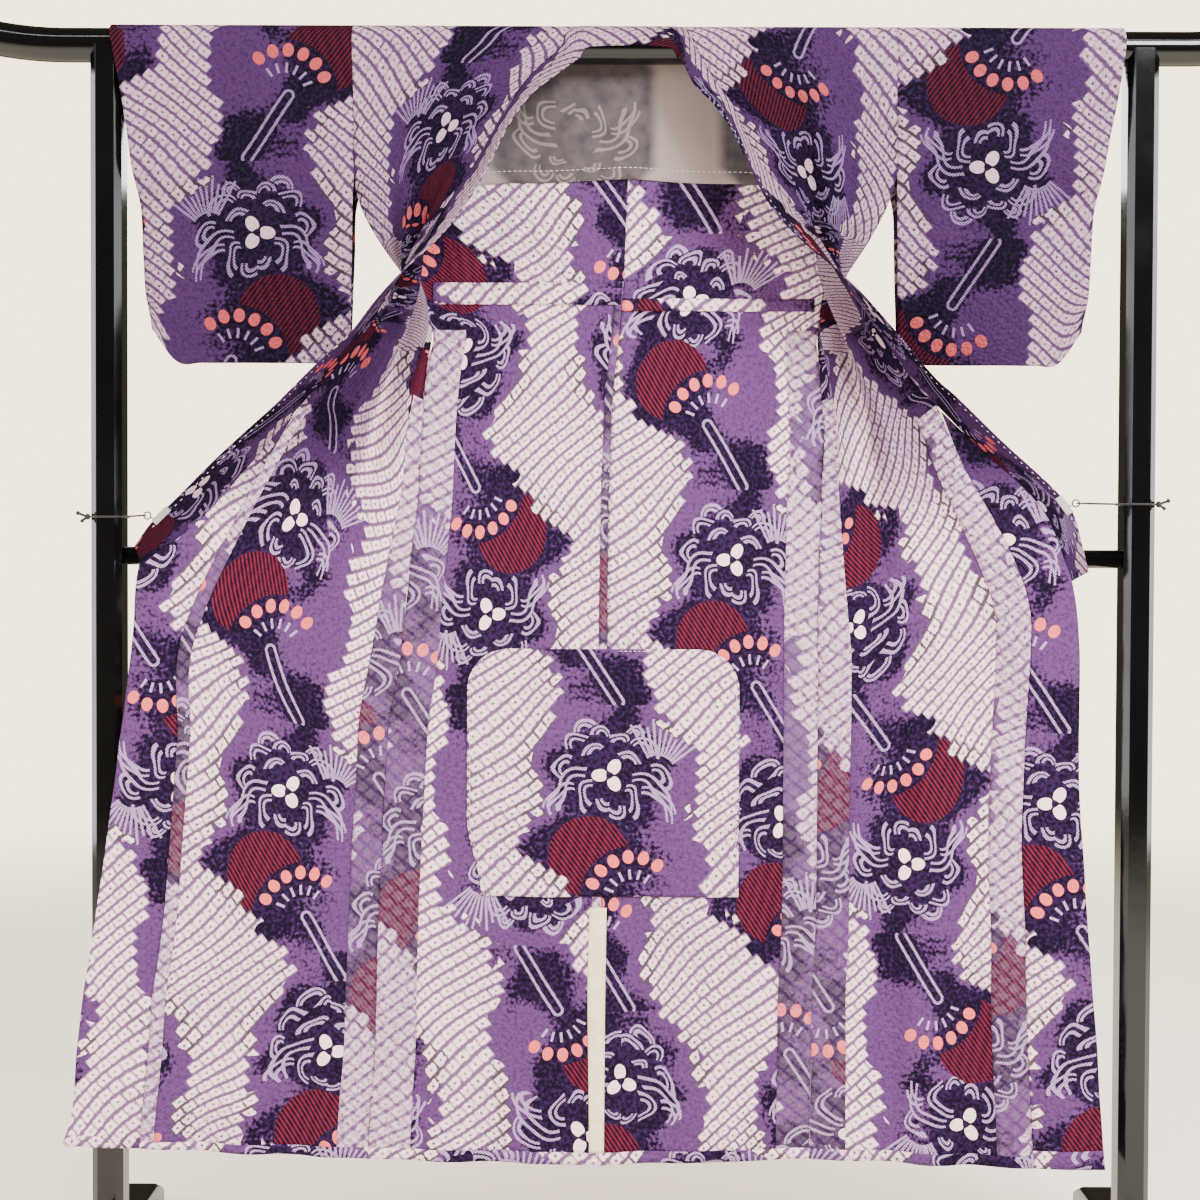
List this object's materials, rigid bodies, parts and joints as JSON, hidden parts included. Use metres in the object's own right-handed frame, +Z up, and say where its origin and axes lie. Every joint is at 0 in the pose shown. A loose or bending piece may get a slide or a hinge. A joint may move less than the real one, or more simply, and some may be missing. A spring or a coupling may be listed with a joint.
{
  "type": "yukata on a kimono stand",
  "caption": "Cotton summer kimono hung open on a lacquered kimono stand, the bar through its sleeves and its fronts drawn aside by clips and cords.",
  "frame": {"origin": "middle of the stand on the floor, under the middle of the bounding box", "axes": "+Z up, -Y towards the viewer of the open front, +X to that viewer's right, along the top bar"},
  "size_m": [1.9196, 0.45, 1.777],
  "materials": {
    "dyed_cotton": "tie-dyed cotton, puckered",
    "lining_cotton": "thin plain cotton",
    "black_lacquer": "glossy black lacquer",
    "clip_steel": "bright plated",
    "black_cord": "round cord"
  },
  "bodies": {
    "root": {"body_left": "dyed_cotton", "body_right": "dyed_cotton", "overlap_left": "dyed_cotton", "overlap_right": "dyed_cotton", "collar": "dyed_cotton", "sleeve_left": "dyed_cotton", "sleeve_right": "dyed_cotton", "seat_patch": "dyed_cotton", "shoulder_lining": "lining_cotton", "top_bar": "black_lacquer", "post_left": "black_lacquer", "post_right": "black_lacquer", "foot_left": "black_lacquer", "foot_right": "black_lacquer", "mid_rail": "black_lacquer", "clip_left": "clip_steel", "clip_right": "clip_steel", "tie_left": "black_cord", "tie_right": "black_cord"}
  },
  "joints": []
}
